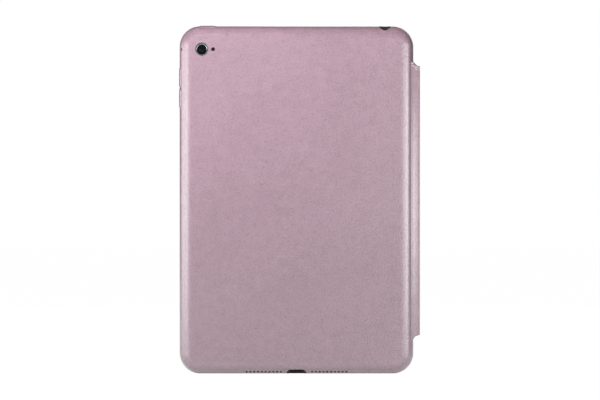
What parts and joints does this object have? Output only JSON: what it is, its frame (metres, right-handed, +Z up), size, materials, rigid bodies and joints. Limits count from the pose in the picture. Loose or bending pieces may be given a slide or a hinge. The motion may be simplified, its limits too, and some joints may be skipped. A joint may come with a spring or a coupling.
{
  "type": "tablet computer in folio case",
  "caption": "Small slate tablet in a leather-look folio case, with a panelled cover that folds back behind it and rolls up into a stand.",
  "frame": {"origin": "middle of the bottom of the whole closed object, standing upright", "axes": "+X towards the hinge side seen from the back, +Y from the back towards the screen and cover, +Z up"},
  "size_m": [0.1442, 0.0112, 0.2084],
  "materials": {
    "case_leather": "satin",
    "shell_plastic": "matt moulded",
    "case_lining": "brushed microfibre",
    "magnet_steel": "nickel plated",
    "spring_steel": "rolled strip",
    "cover_board": "matt",
    "silver_housing": "bead blasted and anodised",
    "black_plastic": "matt moulded",
    "front_glass": "polished, white border printed behind",
    "display_glass": "polished, dark",
    "white_plastic": "matt",
    "button_white": "polished",
    "trim_steel": "fine brushed",
    "circuit_board": "solder mask",
    "chip_black": "moulded",
    "battery_foil": "foil pouch",
    "contact_gold": "plated",
    "flex_copper": "polyimide film",
    "camera_trim": "diamond cut",
    "lens_glass": "polished, coated"
  },
  "bodies": {
    "tablet_in_shell": {"case_skin": "case_leather", "jack_surround": "case_leather", "case_shell": "shell_plastic", "case_lining": "case_lining", "shell_magnets": "magnet_steel", "hinge_web": "case_leather", "rear_housing": "silver_housing", "glass_gasket": "black_plastic", "cover_glass": "front_glass", "display_panel": "display_glass", "backlight_unit": "white_plastic", "home_button_ring": "trim_steel", "home_button_switch": "black_plastic", "home_button_bracket": "trim_steel", "front_camera": "black_plastic", "light_sensor": "black_plastic", "logic_board": "circuit_board", "processor_chip": "chip_black", "memory_chips": "chip_black", "board_shield": "trim_steel", "board_screws": "trim_steel", "battery_left": "battery_foil", "battery_right": "battery_foil", "battery_board": "circuit_board", "left_speaker": "black_plastic", "right_speaker": "black_plastic", "speaker_mesh": "trim_steel", "charge_port": "trim_steel", "port_tongue": "contact_gold", "dock_flex": "flex_copper", "headphone_socket": "black_plastic", "camera_module": "black_plastic", "camera_ring": "camera_trim", "camera_lens": "lens_glass", "rear_microphone": "trim_steel", "top_antenna": "contact_gold", "key_switches": "trim_steel", "key_flex": "flex_copper", "display_flex": "flex_copper", "housing_magnets": "magnet_steel"},
    "spine": {"spine_board": "spring_steel", "spine_skin": "case_leather"},
    "panel_1": {"panel_board_1": "cover_board", "panel_skin_1": "case_leather", "panel_lining_1": "case_lining", "roll_magnets": "magnet_steel"},
    "panel_2": {"panel_board_2": "cover_board", "panel_skin_2": "case_leather", "panel_lining_2": "case_lining"},
    "panel_3": {"panel_board_3": "cover_board", "panel_skin_3": "case_leather", "panel_lining_3": "case_lining", "cover_magnets": "magnet_steel"},
    "home_button": {"home_button": "button_white"},
    "volume_up_pad": {"volume_up_pad": "case_leather"},
    "volume_down_pad": {"volume_down_pad": "case_leather"},
    "power_pad": {"power_pad": "case_leather"},
    "volume_up_key": {"volume_up_key": "silver_housing"},
    "volume_down_key": {"volume_down_key": "silver_housing"},
    "power_key": {"power_key": "silver_housing"}
  },
  "joints": [
    {"name": "spine_turn", "type": "hinge", "parent": "tablet_in_shell", "child": "spine", "pos_m": [0.07147, -0.002, 0.104], "axis": [0, 0, -1], "range_deg": [0, 176]},
    {"name": "cover_turn", "type": "hinge", "parent": "spine", "child": "panel_1", "pos_m": [0.07147, 0.0046, 0.104], "axis": [0, 0, -1], "range_deg": [0, 118]},
    {"name": "first_fold", "type": "hinge", "parent": "panel_1", "child": "panel_2", "pos_m": [0.02227, 0.00325, 0.104], "axis": [0, 0, -1], "range_deg": [0, 120]},
    {"name": "second_fold", "type": "hinge", "parent": "panel_2", "child": "panel_3", "pos_m": [-0.02693, 0.00325, 0.104], "axis": [0, 0, -1], "range_deg": [0, 120]},
    {"name": "home_press", "type": "slide", "parent": "tablet_in_shell", "child": "home_button", "axis": [0, -1, 0], "range_m": [0, 0.0003], "stiffness_N_per_m": 1500},
    {"name": "volume_up_press", "type": "slide", "parent": "tablet_in_shell", "child": "volume_up_pad", "axis": [1, 0, 0], "range_m": [0, 0.0003], "stiffness_N_per_m": 1500},
    {"name": "volume_down_press", "type": "slide", "parent": "tablet_in_shell", "child": "volume_down_pad", "axis": [1, 0, 0], "range_m": [0, 0.0003], "stiffness_N_per_m": 1500},
    {"name": "power_press", "type": "slide", "parent": "tablet_in_shell", "child": "power_pad", "axis": [0, 0, -1], "range_m": [0, 0.0003], "stiffness_N_per_m": 1500},
    {"name": "volume_up_key_follow", "type": "slide", "parent": "tablet_in_shell", "child": "volume_up_key", "axis": [1, 0, 0], "range_m": [0, 0.0003]},
    {"name": "volume_down_key_follow", "type": "slide", "parent": "tablet_in_shell", "child": "volume_down_key", "axis": [1, 0, 0], "range_m": [0, 0.0003]},
    {"name": "power_key_follow", "type": "slide", "parent": "tablet_in_shell", "child": "power_key", "axis": [0, 0, -1], "range_m": [0, 0.0003]}
  ],
  "couplings": [
    {"joint": "volume_up_key_follow", "follows": "volume_up_press", "ratio": 1},
    {"joint": "volume_down_key_follow", "follows": "volume_down_press", "ratio": 1},
    {"joint": "power_key_follow", "follows": "power_press", "ratio": 1}
  ]
}
